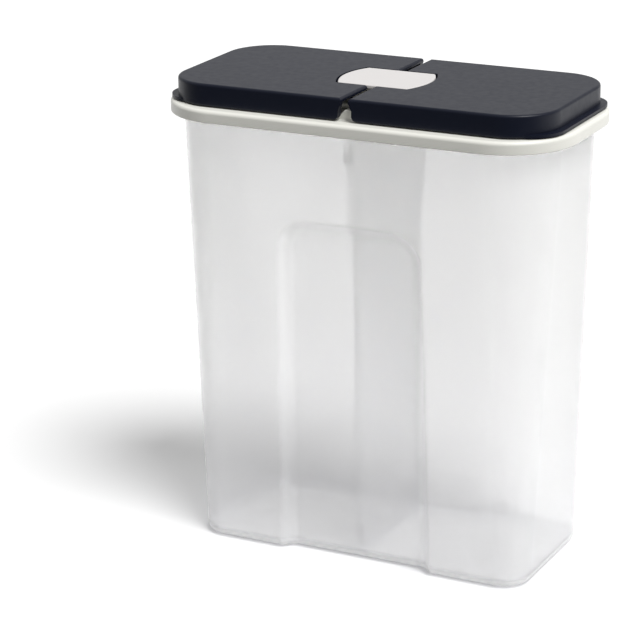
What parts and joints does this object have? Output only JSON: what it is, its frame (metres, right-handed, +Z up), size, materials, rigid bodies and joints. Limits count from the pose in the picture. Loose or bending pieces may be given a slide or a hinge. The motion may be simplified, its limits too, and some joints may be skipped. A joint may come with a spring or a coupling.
{
  "type": "cereal dispenser",
  "caption": "Tapered frosted box with a partition, grip recesses, a rim frame and flap lids that hinge beside a centre cap, for storing and pouring dry food.",
  "frame": {"origin": "centre of the base, on the surface it stands on", "axes": "+Z up, X along the length with one compartment at each end, -Y is the front"},
  "size_m": [0.241, 0.12, 0.2723],
  "materials": {
    "frosted_body": "frosted translucent polypropylene",
    "ivory_frame": "satin moulded",
    "light_cap": "satin moulded",
    "pin_plastic": "smooth moulded",
    "dark_lid": "satin moulded with a fine grain"
  },
  "bodies": {
    "box": {"container": "frosted_body", "divider": "frosted_body"},
    "frame": {"lid_frame": "ivory_frame", "hinge_cap": "light_cap", "left_hinge_pin": "pin_plastic", "right_hinge_pin": "pin_plastic"},
    "left_flap": {"left_lid": "dark_lid"},
    "right_flap": {"right_lid": "dark_lid"}
  },
  "joints": [
    {"name": "frame_lift", "type": "slide", "parent": "box", "child": "frame", "axis": [0, 0, 1], "range_m": [0, 0.05]},
    {"name": "left_lid_hinge", "type": "hinge", "parent": "frame", "child": "left_flap", "pos_m": [-0.0088, 0, 0.269], "axis": [0, 1, 0], "range_deg": [0, 92]},
    {"name": "right_lid_hinge", "type": "hinge", "parent": "frame", "child": "right_flap", "pos_m": [0.0088, 0, 0.269], "axis": [0, -1, 0], "range_deg": [0, 92]}
  ]
}
